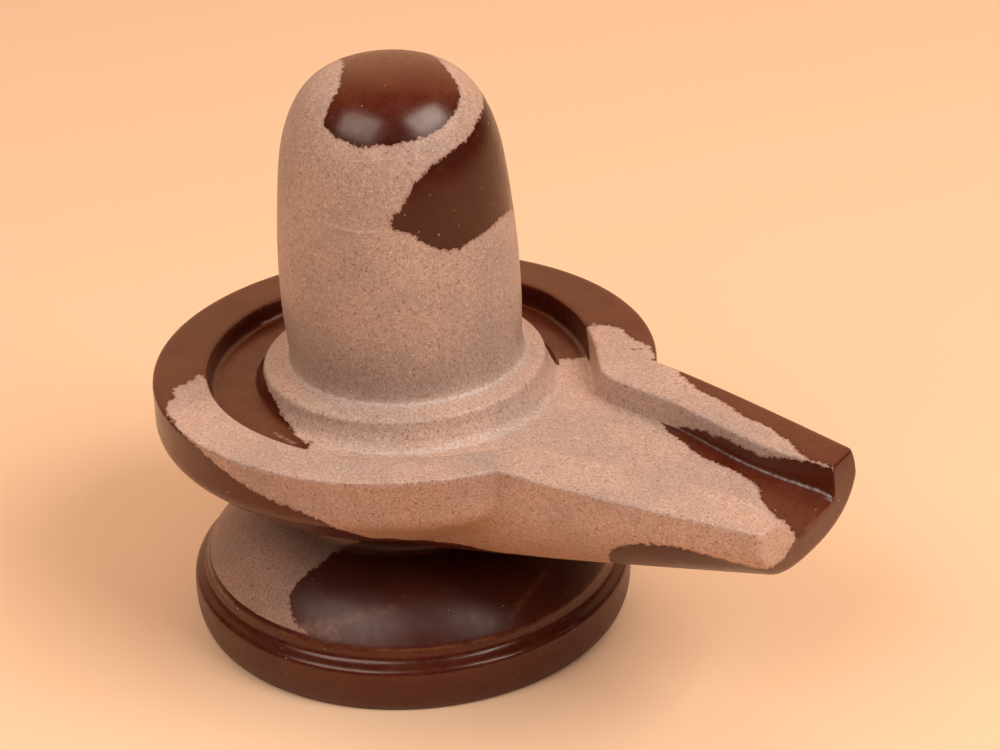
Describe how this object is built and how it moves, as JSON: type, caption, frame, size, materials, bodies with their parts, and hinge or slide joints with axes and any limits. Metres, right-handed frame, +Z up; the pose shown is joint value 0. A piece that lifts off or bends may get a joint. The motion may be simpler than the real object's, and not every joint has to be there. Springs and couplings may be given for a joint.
{
  "type": "shiva lingam stone",
  "caption": "Two-tone polished stone lingam on a round water dish with an open spout, over a bell-shaped foot, all carved in one",
  "frame": {"origin": "under the middle of the dish, in the plane that the foot stands on", "axes": "+Z up through the lingam, +X along the spout, +Y to the left of someone looking along the spout"},
  "size_m": [0.1872, 0.1308, 0.15],
  "materials": {
    "two_tone_stone": "hand-polished, buff tan stone with dark red-brown patches"
  },
  "bodies": {
    "root": {"shiva_lingam": "two_tone_stone"}
  },
  "joints": []
}
